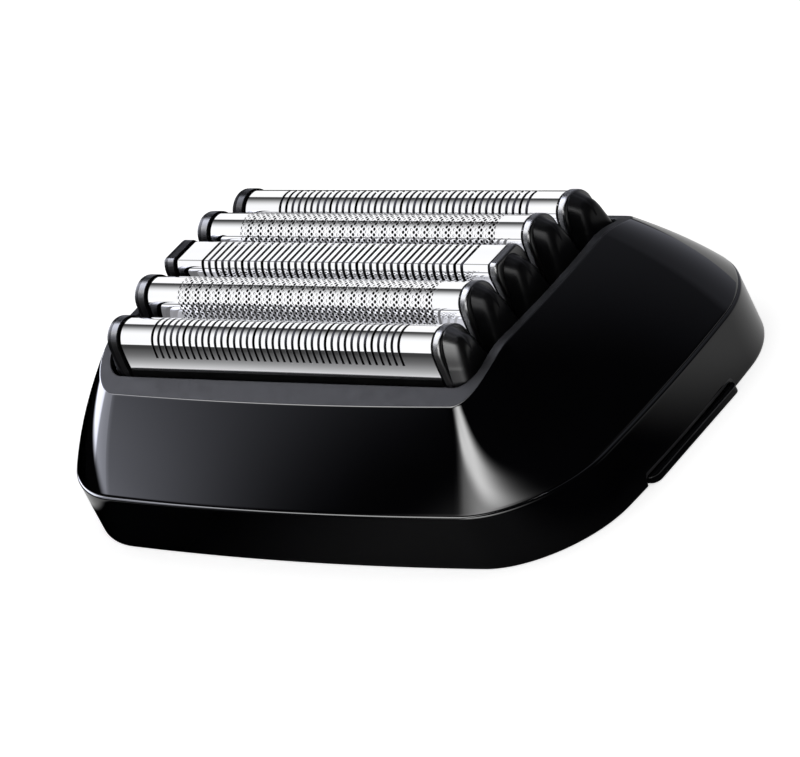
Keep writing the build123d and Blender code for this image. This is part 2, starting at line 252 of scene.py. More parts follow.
skirt_gloss = black_plastic("skirt gloss", (0.0013, 0.0013, 0.0018), smooth=0.045, rough=0.060,
                            specular=0.4, scale=900)
# Lighter grey satin for thin painted highlight lines along edges.
highlight_satin = black_plastic("painted highlight satin", (0.030, 0.030, 0.032), smooth=0.3, rough=0.4, specular=0.5, scale=3000)
edge = skirt_outline(0)
side_y = np.abs(edge[:, 1])
# The notch's ends are quarter ellipses.
notch = notch_foot_z + notch_corner_z * np.sqrt(1 - np.clip((side_y - notch_half) / notch_corner, 0, 1) ** 2)
in_notch = (np.abs(edge[:, 0]) > short_side_x) & (side_y < notch_half + notch_corner)
low = np.where(in_notch, notch, 0.0)
section = ((0.14, low), (0.04, low + 0.04), (0, low + 0.14), (0, low + 0.35), (0, 1.6), (0, 3.5), (0, 5.2),
           (0, 5.5), (0.01, 5.60), (0.05, 5.67), (0.19, 5.82), (0.30, 5.83), (1.6, 5.83), (1.6, 3.0),
           (1.6, low + 0.1), (1.5, low))
rings = [lift(skirt_outline(inset), z) for inset, z in section]
# Faces along the notch's lower edge get the painted highlight.
notch_highlight = np.zeros((len(rings), len(edge)), int)
notch_highlight[1:3, in_notch] = 1
lower_skirt = put_mesh("lower_skirt_skin", np.vstack(rings), ring_quads(len(rings), len(edge), True),
                       [skirt_gloss, highlight_satin], notch_highlight.ravel())
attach(lower_skirt, "head")
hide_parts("lower_skirt")


# Chassis, yoke and blade holders. Satin black mouldings inside the housing; the chassis is held
# by four steel screws from below, and the yoke shakes the blade holders along the rows.
def bare_steel(name, light, smooth, rough, stretch=(1, 1, 1)):
    """Bare steel with faint streaks in the direction in which it was drawn or ground; a mirror has no rough."""
    dark = tuple(0.93 * v for v in light)
    material, shader = grained(name, dark, light, smooth, rough, scale=5000, depth=0, stretch=stretch)
    shader.inputs["Metallic"].default_value = 1.0
    if not rough:
        shader.inputs["Roughness"].default_value = smooth
    return material


inner_satin = black_plastic("inner satin", (0.009, 0.009, 0.010), smooth=0.36, rough=0.46, specular=0.35,
                            scale=6000, depth=0.000006)
screw_steel = bare_steel("screw steel", (0.57, 0.57, 0.59), smooth=0.26, rough=0.36)
for name in ("chassis", "drive_yoke", *("blade_holder_%d" % k for k in range(1, 6))):
    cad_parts[name].data.materials.clear()
    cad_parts[name].data.materials.append(inner_satin)
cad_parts["chassis_screws"].data.materials.clear()
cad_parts["chassis_screws"].data.materials.append(screw_steel)


# Cutter springs and button springs. Drawn steel wire wound to coils; the cutter springs stand
# between yoke and blade holders, the button springs lie between chassis posts and release tabs.
row_pitch = 5.0
wire_radius, coil_turns = 0.15, 3
cutter_coil_length, cutter_coil_radius, cutter_coil_z = 4.4, 0.75, 8.8
button_coil_length, button_coil_radius, button_coil_x, button_coil_z = 2.6, 1.1, 27.3, 2.6


def coil_points(length, radius, wire, turns):
    """Round wire wound to a coil of the given length. The centre line is a helix of constant radius, and each
    ring is a circle of wire radius in the plane through the coil's axis. Rings of 8 points, 24 to a turn."""
    t = np.linspace(0, 1, turns * 24 + 1)
    a = 2 * np.pi * turns * t
    out = np.c_[np.cos(a), np.sin(a), np.zeros_like(a)]
    centre = radius * out + np.c_[np.zeros_like(a), np.zeros_like(a), wire + (length - 2 * wire) * t]
    v = np.linspace(0, 2 * np.pi, 9)[:-1]
    ring = np.cos(v)[None, :, None] * out[:, None] + np.sin(v)[None, :, None] * np.array([0, 0, 1.0])
    return centre[:, None] + wire * ring


def row_shift(k):
    """Move from the middle plane to row k, counted from 0 at the front."""
    return np.array([0, row_pitch * (k - 2), 0])


def closed_tube(rings, way):
    """Points, quads and the two end faces of a body given as rings; way is 1 or -1, for which way it faces."""
    m, n, _ = rings.shape
    ends = np.stack([np.arange(n)[::-way], np.arange((m - 1) * n, m * n)[::way]])
    return rings.reshape(-1, 3), ring_quads(m, n, False)[:, ::way], ends


def gather(bodies):
    """Points and list of faces of several bodies in one mesh. A body is its points and its arrays of faces."""
    points, faces, start = [], [], 0
    for body, *groups in bodies:
        points.append(body)
        for group in groups:
            faces += (np.asarray(group) + start).tolist()
        start += len(body)
    return np.vstack(points), faces


spring_steel = bare_steel("spring steel", (0.62, 0.62, 0.64), smooth=0.2, rough=0.3, stretch=(1, 1, 0.2))
for k in range(5):
    coil = coil_points(cutter_coil_length, cutter_coil_radius, wire_radius, coil_turns)
    coil = coil + row_shift(k) + np.array([0, 0, cutter_coil_z])
    spring = put_mesh("cutter_spring_wire_%d" % (k + 1), *gather([closed_tube(coil, -1)]), [spring_steel])
    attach(spring, "yoke")
    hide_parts("cutter_spring_%d" % (k + 1))
    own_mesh(spring)
for side, sign in (("right", 1), ("left", -1)):
    coil = coil_points(button_coil_length, button_coil_radius, wire_radius, coil_turns)
    up, across, out = coil[..., 0], coil[..., 1], coil[..., 2]
    coil = np.stack([sign * (button_coil_x + out), sign * across, button_coil_z - up], -1)
    spring = put_mesh("button_spring_wire_" + side, *gather([closed_tube(coil, -1)]), [spring_steel])
    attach(spring, "head")
    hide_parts("button_spring_" + side)
    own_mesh(spring)


# Blade packs. Combs of ground steel blades round a core, on a spine that stands on the blade holder. Rows two
# and four have many thin blades with bright edges right under the sheet, the slotted rows a few blades. Blade
# sides, cores and spines, and the slotted rows' blades whole, are painted near-black as shade.
sheet_foot_z, arch_half, flat_row_half = 15.1, 2.1, 2.0
arch_lean, low_side, high_side = 0.1396, 2.29, 3.37
flat_row, perforated_rows = 2, (1, 3)
core_half, spine_half, spine_width, spine_foot_z = 16.6, 15.4, 0.5, 16.0
blade_foot_inset, overlap = 0.3, 0.1
# Row, count, pitch, half thickness, depth below the sheet, lowest edge, and the core's depth and lowest edge.
combs = ((0, 11, 3.0, 0.22, 0.12, 16.5, 0.40, 16.1), (1, 24, 1.335, 0.31, 0.045, 18.85, 0.90, 17.3),
         (2, 11, 3.0, 0.22, 0.12, 18.3, 0.40, 17.2), (3, 24, 1.335, 0.31, 0.045, 18.85, 0.90, 17.3),
         (4, 11, 3.0, 0.22, 0.12, 16.5, 0.40, 16.1))


def row_outline(k):
    """Outline of row k's sheet from the front foot over the crown to the back foot, as points close together.
    Arched rows lean in from upright to 8 degrees over the height of their sides, then follow a circle to
    the crown. Row three has upright sides, shoulders that bend in along a parabola, and a flat top with
    crisp edges."""
    if k == flat_row:
        bend_from, bend, bend_to = [-flat_row_half, 18.40], [-flat_row_half, 19.15], [-1.50, 19.73]
        t = np.linspace(0, 1, 41)[:, None]
        shoulder = (1 - t) ** 2 * bend_from + 2 * t * (1 - t) * bend + t ** 2 * bend_to
        top = [[-1.47, 19.75], [-1.40, 19.755], [0, 19.76]]
        front = np.vstack([[[-flat_row_half, sheet_foot_z]], shoulder, top])
    else:
        t = np.linspace(0, high_side if k in perforated_rows else low_side, 40)
        slope = arch_lean * t / t[-1]
        side = np.c_[-arch_half + np.r_[0, np.cumsum(np.sin(slope[1:]) * np.diff(t))],
                     sheet_foot_z + np.r_[0, np.cumsum(np.cos(slope[1:]) * np.diff(t))]]
        radius = -side[-1, 0] / np.cos(arch_lean)
        a = np.linspace(arch_lean, np.pi / 2, 91)[1:]
        arch = side[-1] + radius * np.c_[np.cos(arch_lean) - np.cos(a), np.sin(a) - np.sin(arch_lean)]
        front = np.vstack([side, arch])
    return np.vstack([front, front[-2::-1] * [-1, 1]])


def set_off(outline, grow):
    """Open outline moved outwards by grow along its normals."""
    d = np.gradient(outline, axis=0)
    d = d / np.linalg.norm(d, axis=1)[:, None]
    return outline + grow * np.c_[-d[:, 1], d[:, 0]]


def plates(spans, outline):
    """Points, edge faces and side faces of plates square to X: one for each span from x0 to x1, all with the
    same closed outline in Y and Z. Edges and sides have points of their own, so that the edges stay crisp."""
    m, n = len(spans), len(outline)
    points = np.c_[np.repeat(np.ravel(spans), n), np.tile(outline, (2 * m, 1))]
    first, i = (np.arange(m) * 2 * n)[:, None], np.arange(n)
    on = (i + 1) % n
    rim = np.stack([first + i, first + n + i, first + n + on, first + on], -1).reshape(-1, 4)
    return np.vstack([points, points]), rim, np.vstack([first + i, first + n + i[::-1]]) + len(points)


def box_mesh(x0, x1, y0, y1, z0, z1):
    """Corner points and faces of a box."""
    p = np.array([(x, y, z) for z in (z0, z1) for x, y in ((x0, y0), (x1, y0), (x1, y1), (x0, y1))])
    return p, [[0, 3, 2, 1], [4, 5, 6, 7], [0, 1, 5, 4], [1, 2, 6, 5], [2, 3, 7, 6], [3, 0, 4, 7]]


blade_edge = bare_steel("blade edge", (0.90, 0.90, 0.92), smooth=0.0, rough=0, stretch=(1, 0.1, 0.1))
# Steel painted near-black: painted shade inside the foil.
blade_painted_shade = bare_steel("blade side painted shade", (0.012, 0.012, 0.014), smooth=0.4, rough=0.5, stretch=(1, 0.1, 0.1))
for k, count, pitch, half, depth, low, core_depth, core_low in combs:
    edge = set_off(row_outline(k), -depth)
    edge = edge[edge[:, 1] > low][::2]
    foot_y = edge[0, 0] + blade_foot_inset
    foot = np.array([(foot_y, low - overlap), (foot_y, core_low)])
    edge = np.vstack([foot[::-1], edge, foot * [-1, 1]])
    core = set_off(row_outline(k), -core_depth)
    core = core[core[:, 1] > core_low][::4]
    middle = (np.arange(count) - (count - 1) / 2) * pitch
    blades = plates(middle[:, None] + [-half, half], edge)
    bar = plates(np.array([[-core_half, core_half]]), core)
    spine = box_mesh(-spine_half, spine_half, -spine_width, spine_width, spine_foot_z, core_low + overlap)
    groups = [len(group) for body in (blades, bar, spine) for group in body[1:]]
    points, faces = gather([blades, bar, spine])
    bright = np.repeat([k in perforated_rows, False, False, False, False], groups)
    comb = put_mesh("blade_comb_%d" % (k + 1), points + row_shift(k), faces, [blade_painted_shade, blade_edge], bright)
    comb.data.polygons.foreach_set("use_smooth", np.repeat([True, False, True, False, False], groups))
    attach(comb, "cutter_%d" % (k + 1))
    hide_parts("blade_pack_%d" % (k + 1))


# Foil carriers. Satin black mouldings, one to a row: two rails under the foil's edges and, at each end,
# a collar round the foil and a nose with a falling back; hooked legs below hold them in the chassis. Collars
# are wider at the left. The right collars shine more than the left ones by a painted highlight, a higher
# specular; the noses of rows two to five, the collars' outer left ends and row five's left collar are a shaded
# copy with a low specular, painted shade; the rails, legs, a line where the collars meet the foil and row
# five's left end are painted near-black shade.
row_mid_z = (17.0, 18.0, 17.6, 18.0, 17.0)
cap_points = 64
# The collar's x and how far it stands out from the row's section, ring by ring.
collar_band = ((20.0, -0.05), (20.0, 0.07), (20.03, 0.12), (20.09, 0.15), (20.17, 0.15), (20.56, 0.15),
               (20.68, 0.15), (20.78, 0.14), (20.86, 0.11), (20.92, 0.06), (20.955, -0.01), (20.97, -0.1),
               (20.975, -0.3))
# The first rings of each collar, next to the foil, are painted near-black shade.
foil_shade_line_rings, left_end_ring = 4, 5
left_extra, left_from_x, left_over, left_from_z, left_rise = 0.55, 20.15, 0.6, 13.5, 1.2
nose_x, nose_length, tip_x, tip_share, tip_z = 20.90, 1.84, 22.75, 0.88, 15.0
nose_low_z, facet_z, nose_taper = 13.42, 14.7, 0.46
nose_foot_half, nose_top_half, nose_top_z, nose_top_fall = 2.22, 1.96, 16.05, 0.30
crown_over, crown_fall, arc_side, arc_lift, arc_width = 2.14, 0.96, 0.22, 0.22, 0.80
plan_round_from, plan_round, height_round_from, height_round, height_over = 0.55, 0.36, 0.70, 1.1, 1
nose_steps = (0, 0.06, 0.13, 0.2, 0.3, 0.4, 0.5, 0.6, 0.7, 0.78, 0.83, 0.875, 0.91, 0.94, 0.965, 0.985, 1)
rail_half, rail_inner, rail_low_z, rail_top_z = 19.83, 1.4, 12.6, 16.0
rail_over, upstand_inset = 0.15, 0.2
leg_half, leg_low_z, leg_top_z, hook_top_z = 1.2, 9.6, 12.7, 10.3
leg_from_x, leg_to_x, hook_from_x, hook_to_x = 20.2, 21.9, 21.8, 22.6


def row_section(k, grow, low):
    """Section of row k made wider and higher by grow, with upright feet down to the given height."""
    over = set_off(row_outline(k), grow)
    side = np.linspace(0, 1, 12)[:-1, None]
    foot = (1 - side) * np.array([over[0, 0], low]) + side * over[0]
    return np.vstack([foot, over, foot[::-1] * [-1, 1]])


def along(outline, share):
    """Points at the given shares of an open outline's length."""
    length = np.r_[0, np.cumsum(np.linalg.norm(np.diff(outline, axis=0), axis=1))]
    return np.stack([np.interp(share * length[-1], length, outline[:, v]) for v in (0, 1)], -1)


def collar_rings(k):
    """Rings along X of the right collar: the row's section, which grows and shrinks again along collar_band."""
    evenly = np.linspace(0, 1, cap_points)
    return np.array([np.c_[np.full(cap_points, x), along(row_section(k, grow, rail_low_z), evenly)]
                     for x, grow in collar_band])


def nose_rings(k):
    """Rings along X of the right nose. With u from 0 at the collar to 1 at the tip, each ring has an upright
    foot, a facet that leans in and a cubic arc over the crown. Widths and heights fall in straight lines
    with u, and the tip rounds off in quarter ellipses, in plan and in height, each from a u of its own."""
    u = np.array(nose_steps)[:, None]
    quarter = lambda start: 1 - np.sqrt(1 - np.clip((u - start) / (1 - start), 0, 1) ** 2)
    foot_y, top_y = nose_foot_half - nose_taper * u, nose_top_half - nose_taper * u
    top_z = nose_top_z - nose_top_fall * u
    crown = row_mid_z[k] + crown_over - crown_fall * u
    share = np.linspace(0, 1, 5)[:-1]
    foot = np.stack([-foot_y * np.ones(4), np.ones_like(u) * (nose_low_z + (facet_z - nose_low_z) * share)], -1)
    share = np.linspace(0, 1, 11)[:-1]
    facet = np.stack([-foot_y + (foot_y - top_y) * share, facet_z + (top_z - facet_z) * share], -1)
    t = np.linspace(0, 1, 18)
    weights = (1 - t) ** 3, 3 * t * (1 - t) ** 2, 3 * t ** 2 * (1 - t), t ** 3
    arc_y = (-top_y, -top_y + arc_side, -arc_width * top_y, 0 * u)
    arc_z = (top_z, top_z + arc_lift * (crown - top_z), crown, crown)
    arc = np.stack([sum(w * c for w, c in zip(weights, controls)) for controls in (arc_y, arc_z)], -1)
    front = np.concatenate([foot, facet, arc], 1)
    section = np.concatenate([front, front[:, ::-1] * [-1, 1]], 1)
    height = row_mid_z[k] + height_over - nose_low_z
    y = section[..., 0] * (1 - plan_round * quarter(plan_round_from))
    z = nose_low_z + (section[..., 1] - nose_low_z) * (1 - height_round * quarter(height_round_from) / height)
    nose = np.stack([np.broadcast_to(nose_x + nose_length * u, y.shape), y, z], -1)
    centre = np.array([0, tip_z])
    tip = np.c_[np.full(cap_points, tip_x), centre + (nose[-1, :, 1:] - centre) * tip_share]
    return np.concatenate([nose, tip[None]])


def left_collar(rings):
    """The right collar's mirror image, drawn out to the left by left_extra except at its low end."""
    left = rings * [-1, 1, 1]
    out = np.clip((-left[..., 0] - left_from_x) / left_over, 0, 1)
    up = np.clip((left[..., 2] - left_from_z) / left_rise, 0, 1)
    left[..., 0] -= left_extra * out * up
    return left


carrier_black, carrier_grain = (0.005, 0.005, 0.0056), dict(smooth=0.28, rough=0.30, scale=7000, depth=0.000001)
carrier_satin = black_plastic("carrier satin", carrier_black, specular=0.55, **carrier_grain)
# A copy of the carrier moulding with a low specular: painted shade.
carrier_painted_shade = black_plastic("carrier painted shade", carrier_black, specular=0.12, **carrier_grain)
# The right collars' copy has a raised specular: a painted highlight.
collar_painted_highlight = black_plastic("collar painted highlight", carrier_black, specular=0.85, ior=1.68, **carrier_grain)
collar_plain = black_plastic("collar plain", carrier_black, specular=0.5, **carrier_grain)
# Near-black copy with almost no specular for the rails, legs, the line at the foil and row five's left end:
# painted shade.
rail_painted_shade = black_plastic("rail painted shade", (0.002, 0.002, 0.002), smooth=0.5, rough=0.6, specular=0.02,
                           scale=7000, depth=0.000002)
for k in range(5):
    collar, nose = collar_rings(k), nose_rings(k)
    bodies = [closed_tube(collar, -1), closed_tube(left_collar(collar), 1),
              closed_tube(nose, -1), closed_tube(nose * [-1, 1, 1], 1)]
    half = flat_row_half if k == flat_row else arch_half
    for s in (-1, 1):
        rail = sorted((s * rail_inner, s * (half + rail_over)))
        upstand = sorted((s * rail_inner, s * (half - upstand_inset)))
        leg, hook = sorted((s * leg_from_x, s * leg_to_x)), sorted((s * hook_from_x, s * hook_to_x))
        bodies.append(box_mesh(-rail_half, rail_half, *rail, rail_low_z, sheet_foot_z))
        bodies.append(box_mesh(-rail_half, rail_half, *upstand, sheet_foot_z, rail_top_z))
        bodies.append(box_mesh(*leg, -leg_half, leg_half, leg_low_z, leg_top_z))
        bodies.append(box_mesh(*hook, -leg_half, leg_half, leg_low_z, hook_top_z))
    points, faces = gather(bodies)
    # Row one's noses keep the satin; the other noses, the left collars' outer ends and row five's left collar
    # take the painted shade copy.
    finishes = [carrier_painted_shade if k else carrier_satin, rail_painted_shade, collar_painted_highlight,
                carrier_painted_shade if k == 4 else collar_plain, rail_painted_shade if k == 4 else carrier_painted_shade]
    on_nose, on_painted_shade, on_right, on_left, on_left_end = range(5)
    collar_faces, nose_faces = [sum(len(group) for group in body[1:]) for body in bodies[1:3]]
    right = np.full(collar_faces, on_right)
    left = np.full(collar_faces, on_left)
    left[left_end_ring * cap_points:] = on_left_end
    foil_shade_line = slice(foil_shade_line_rings * cap_points)
    right[foil_shade_line] = left[foil_shade_line] = on_painted_shade
    caps = np.r_[right, left, np.full(2 * nose_faces, on_nose)]
    finish = np.r_[caps, np.full(len(faces) - len(caps), on_painted_shade)]
    carrier = put_mesh("foil_carrier_skin_%d" % (k + 1), points + row_shift(k), faces, finishes, finish)
    carrier.data.polygons.foreach_set("use_smooth", np.arange(len(faces)) < len(caps))
    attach(carrier, "foil_frame_%d" % (k + 1))
    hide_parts("foil_carrier_%d" % (k + 1))


# Foils. Mirror polished steel sheet folded over the blades: rows one, three and five are slotted across
# the crown, rows two and four are perforated with small round holes in a staggered lattice.
foil_half, sheet = 19.75, 0.035
# Row, count, pitch and width of the slots, bare length of the sheet at each foot, and the slots' shift in X.
slots = ((0, 39, 0.826, 0.34, 1.3, 0.15), (2, 39, 0.868, 0.38, 3.1, 0.1), (4, 39, 0.826, 0.34, 1.3, 0.5))
hole_rows, hole_columns, hole_step_x, hole_step_s, hole_radius, hole_shift = 31, 49, 0.667, 0.262, 0.165, 0.4
panel_inset, normal_step, foot_points, crown_points = 0.003, 0.01, 7, 50


def on_foil(k, x, s, depth):
    """Point on row k's sheet at x and at arc length s from the front foot, set in by depth along the normal."""
    outline = row_outline(k)
    length = np.r_[0, np.cumsum(np.linalg.norm(np.diff(outline, axis=0), axis=1))]
    at = lambda where, v: np.interp(where, length, outline[:, v])
    ty, tz = (at(s + normal_step, v) - at(s - normal_step, v) for v in (0, 1))
    size = np.hypot(ty, tz)
    return np.stack([x, at(s, 0) + row_pitch * (k - 2) + depth * tz / size, at(s, 1) - depth * ty / size], -1)


def foil_length(k):
    """Arc length of row k's sheet from foot to foot."""
    return np.linalg.norm(np.diff(row_outline(k), axis=0), axis=1).sum()


def exact_normals(piece, normals):
    """Give the piece's first points these normals and leave the others as they are."""
    found = np.empty(3 * len(piece.data.vertices), np.float32)
    piece.data.vertex_normals.foreach_get("vector", found)
    found = found.reshape(-1, 3)
    found[:len(normals)] = normals
    piece.data.normals_split_custom_set_from_vertices(found.tolist())


def glow_in_mirrors(material, colour):
    """Paint a faint glow into a steel, by emission, where another mirror shows it, and nowhere else: painted
    light.
    """
    nodes, links = material.node_tree.nodes, material.node_tree.links
    shader = nodes["Principled BSDF"]
    shader.inputs["Emission Color"].default_value = (*colour, 1)
    links.new(nodes.new("ShaderNodeLightPath").outputs["Is Singular Ray"], shader.inputs["Emission Strength"])


foil_steel = bare_steel("foil steel", (0.935, 0.94, 0.96), smooth=0.0, rough=0, stretch=(0.05, 1, 1))
# The sheet's underside is painted dark grey: painted shade.
foil_underside_shade = bare_steel("foil underside painted shade", (0.16, 0.16, 0.17), smooth=0.4, rough=0.5, stretch=(0.05, 1, 1))
# Foil steel and the shaded blade steel get the painted glow.
for steel in (foil_steel, blade_painted_shade):
    glow_in_mirrors(steel, (0.16, 0.16, 0.165))


def grid_cells(i, j, n):
    """Quads of the grid cells i, j on a grid with n points along its second direction."""
    return np.stack([i * n + j, (i + 1) * n + j, (i + 1) * n + j + 1, i * n + j + 1], -1).reshape(-1, 4)


def slot_walls(solid, n):
    """Edges, as pairs of grid points, between the solid cells and the open ones or the grid's border."""
    padded = np.pad(solid, 1)
    edges = []
    for axis, sign in ((0, 1), (0, -1), (1, 1), (1, -1)):
        i, j = np.nonzero(solid & ~np.roll(padded, -sign, axis)[1:-1, 1:-1])
        beyond = int(sign > 0)
        if axis == 0:
            a, b = (i + beyond) * n + j, (i + beyond) * n + j + 1
        else:
            a, b = (i + 1) * n + j + beyond, i * n + j + beyond
        edges.append(np.stack([a, b], -1)[:, ::sign])
    return np.vstack(edges)


for k, count, pitch, width, foot, shift in slots:
    middle = shift + (np.arange(count) - (count - 1) / 2) * pitch
    x = np.r_[-foil_half, np.stack([middle - width / 2, middle + width / 2], 1).ravel(), foil_half]
    total = foil_length(k)
    s = np.r_[np.linspace(0, foot, foot_points), np.linspace(foot, total - foot, crown_points)[1:],
              np.linspace(total - foot, total, foot_points)[1:]]
    open_x = np.arange(len(x) - 1) % 2 == 1
    open_s = (s[:-1] > foot - 1e-6) & (s[1:] < total - foot + 1e-6)
    solid = ~(open_x[:, None] & open_s[None, :])
    gx, gs = np.meshgrid(x, s, indexing="ij")
    outer, inner = on_foil(k, gx, gs, 0.0).reshape(-1, 3), on_foil(k, gx, gs, sheet).reshape(-1, 3)
    base = len(outer)
    cell = grid_cells(*np.nonzero(solid), len(s))
    # Walls have points of their own, so that the sheet stays crisp at the slots.
    a, b = slot_walls(solid, len(s)).T + 2 * base
    walls = np.stack([base + a, base + b, b, a], -1)
    faces = np.vstack([cell, cell[:, ::-1] + base, walls])
    back = np.repeat([0, 1, 0], [len(cell), len(cell), len(walls)])
    foil = put_mesh("foil_sheet_%d" % (k + 1), np.vstack([outer, inner] * 2), faces.tolist(),
                    [foil_steel, foil_underside_shade], back)
    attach(foil, "foil_frame_%d" % (k + 1))
    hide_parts("foil_%d" % (k + 1))

for k in perforated_rows:
    total = foil_length(k)
    r, c = np.meshgrid(np.arange(hole_rows), np.arange(hole_columns), indexing="ij")
    cx = (hole_shift + (c - (hole_columns - 1) / 2 + 0.5 * (r % 2) - 0.25) * hole_step_x).ravel()
    cs = (total / 2 + (r - (hole_rows - 1) / 2) * hole_step_s).ravel()
    # Each hole sits in a diamond of the lattice: a ring of 8 points on the diamond and a ring of 8 on the hole.
    diamond = np.array([(1, 0), (0.5, 0.5), (0, 1), (-0.5, 0.5), (-1, 0), (-0.5, -0.5), (0, -1), (0.5, -0.5)])
    turn = np.arange(8) * np.pi / 4
    ring_x = cx[:, None, None] + np.stack([diamond[:, 0] * hole_step_x / 2, hole_radius * np.cos(turn)])
    ring_s = cs[:, None, None] + np.stack([diamond[:, 1] * hole_step_s, hole_radius * np.sin(turn)])
    outer, inner = (on_foil(k, ring_x, ring_s, depth).reshape(-1, 3) for depth in (0.0, sheet))
    out = outer - on_foil(k, ring_x, ring_s, 1.0).reshape(-1, 3)
    base = len(outer)
    v = np.arange(8)
    w = (v + 1) % 8
    start = (np.arange(len(cx)) * 16)[:, None]
    flat = np.stack([start + v, start + w, start + 8 + w, start + 8 + v], -1).reshape(-1, 4)
    hole = start + 8
    wall = np.stack([hole + v, hole + w, base + hole + w, base + hole + v], -1).reshape(-1, 4) + 2 * base
    lattice = np.vstack([outer, inner] * 2), flat, flat[:, ::-1] + base, wall
    left, right, low, high = cx.min(), cx.max(), cs.min(), cs.max()
    # Plain panels close the sheet round the lattice: x from and to, s from and to, and points along s.
    panels = ((-foil_half, left, 0, total, 60), (right, foil_half, 0, total, 60),
              (left, right, 0, low, 16), (left, right, high, total, 16))
    bodies, back = [lattice], [np.repeat([0, 1, 0], [len(group) for group in lattice[1:]])]
    for x0, x1, s0, s1, n in panels:
        gx, gs = np.meshgrid([x0, x1], np.linspace(s0, s1, n), indexing="ij")
        cell = grid_cells(0, np.arange(n - 1), n)
        for depth, way in ((panel_inset, 1), (sheet - panel_inset, -1)):
            bodies.append((on_foil(k, gx, gs, depth).reshape(-1, 3), cell[:, ::way]))
            back.append(np.full(len(cell), int(way < 0)))
    foil = put_mesh("foil_sheet_%d" % (k + 1), *gather(bodies), [foil_steel, foil_underside_shade], np.concatenate(back))
    exact_normals(foil, np.vstack([out, -out]))
    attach(foil, "foil_frame_%d" % (k + 1))
    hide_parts("foil_%d" % (k + 1))


# Release tabs. Gloss black push tabs in the notches of the short sides; behind the skirt each one carries
# a plate that runs in guides and is pushed out by its spring. A fine lighter satin bead along the upper edge is
# a painted highlight.
bead_radius, bead_z = 0.05, 0.68
tab_face_x, tab_end_x, tab_end_y, tab_corner = 33.5, 32.7, 6.1, 0.8
tab_gloss = black_plastic("tab gloss", (0.0026, 0.0026, 0.0032), smooth=0.12, rough=0.18,
                          specular=0.3, scale=1500)
for side in ("right", "left"):
    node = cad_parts["release_button_" + side]
    node.data.materials.clear()
    node.data.materials.append(tab_gloss)


def tab_bead():
    """Rings of 8 points of a round bead, a painted highlight, along the right tab's edge: the path turns a
    quarter circle at each end and runs straight between them, and the circle stands square to it."""
    q = np.linspace(0, np.pi / 2, 9)
    corner = np.c_[tab_end_x + tab_corner * np.sin(q), tab_end_y + tab_corner * np.cos(q)]
    straight = np.c_[np.full(20, tab_face_x), np.linspace(-tab_end_y, tab_end_y, 22)[1:-1]]
    path = np.r_[corner * [1, -1], straight, corner[::-1]]
    t = np.gradient(path, axis=0)
    across = np.c_[t[:, 1], -t[:, 0]] / np.hypot(*t.T)[:, None]
    around = np.linspace(0, 2 * np.pi, 9)[:-1]
    xy = path[:, None] + bead_radius * np.cos(around)[None, :, None] * across[:, None]
    z = np.broadcast_to(bead_z + bead_radius * np.sin(around)[None, :, None], (len(path), 8, 1))
    return np.concatenate([xy, z], -1)


# Each tab gets a bead of lighter satin: a painted highlight line.
for side, sign in (("right", 1), ("left", -1)):
    bead = closed_tube(tab_bead() * [sign, 1, 1], sign)
    line = put_mesh("tab_highlight_bead_" + side, *gather([bead]), [highlight_satin])
    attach(line, "button_" + side)


# Floor: a plain white disc under the head. Seen from the camera it glows to the white of the surroundings but
# keeps the shadow; where the head covers it the glow is left out, a painted shadow. Black plastic sees it
# painted dark, apart from painted light patches behind, ahead and to the left, and polished steel sees it
# painted bright, with a faint glow, only
# close to the head: painted reflections. Places are in metres.
floor_radius, floor_z, floor_points = 160, -0.02, 96
covered, covered_edge = (("X", 0.0318), ("Y", 0.0193)), (0.75, 1.0)
camera_glow, mirror_glow, satin_glow = 0.6, 0.15, 0.2
behind_y, behind_x, behind_level = (-0.002, 0.014), (-0.03, -0.01), 0.95
ahead_left, ahead_right, ahead_level = (-0.016, 0.014), (0.037, 0.027), 0.13
aside_inner, aside_outer, aside_y, aside_level = (-0.0325, -0.0345), (-0.043, -0.039), (0.0, -0.006), 0.95
near_front_y, near_fade, near_back, mirror_dim = 0.033, 0.007, (0.035, 0.02), 0.93

around = np.linspace(0, 2 * np.pi, floor_points + 1)[:-1]
disc = np.c_[floor_radius * np.cos(around), floor_radius * np.sin(around), np.full(floor_points, floor_z)]
floor_white = bpy.data.materials.new("floor white")
floor_white.use_nodes = True
nodes, links = floor_white.node_tree.nodes, floor_white.node_tree.links


def sums(operation, a, b=None):
    """One sum in the open node tree; a and b are sockets or numbers."""
    node = nodes.new("ShaderNodeMath")
    node.operation = operation
    for socket, value in zip(node.inputs, (a, b)):
        if hasattr(value, "is_linked"):
            links.new(value, socket)
        elif value is not None:
            socket.default_value = value
    return node.outputs[0]


def plus(a, b):
    """a plus b in the open node tree."""
    return sums("ADD", a, b)


def less(a, b):
    """a minus b in the open node tree."""
    return sums("SUBTRACT", a, b)


def times(a, b):
    """a times b in the open node tree."""
    return sums("MULTIPLY", a, b)


def soft_step(value, limits):
    """0 at the first limit and before it, 1 at the second and past it, with a smooth change between."""
    dark, light = limits
    node = nodes.new("ShaderNodeMapRange")
    node.interpolation_type = "SMOOTHSTEP"
    links.new(value, node.inputs["Value"])
    node.inputs["From Min"].default_value = min(dark, light)
    node.inputs["From Max"].default_value = max(dark, light)
    node.inputs["To Min"].default_value = float(dark > light)
    node.inputs["To Max"].default_value = float(dark < light)
    return node.outputs["Result"]


def ray_kinds():
    """Masks in the open node tree for rays from the camera, off satin, off perfect mirrors and off matt."""
    rays = nodes.new("ShaderNodeLightPath").outputs
    from_camera = sums("MAXIMUM", rays["Is Camera Ray"], rays["Is Transmission Ray"])
    mirror = rays["Is Singular Ray"]
    return from_camera, times(rays["Is Glossy Ray"], less(1, mirror)), mirror, rays["Is Diffuse Ray"]


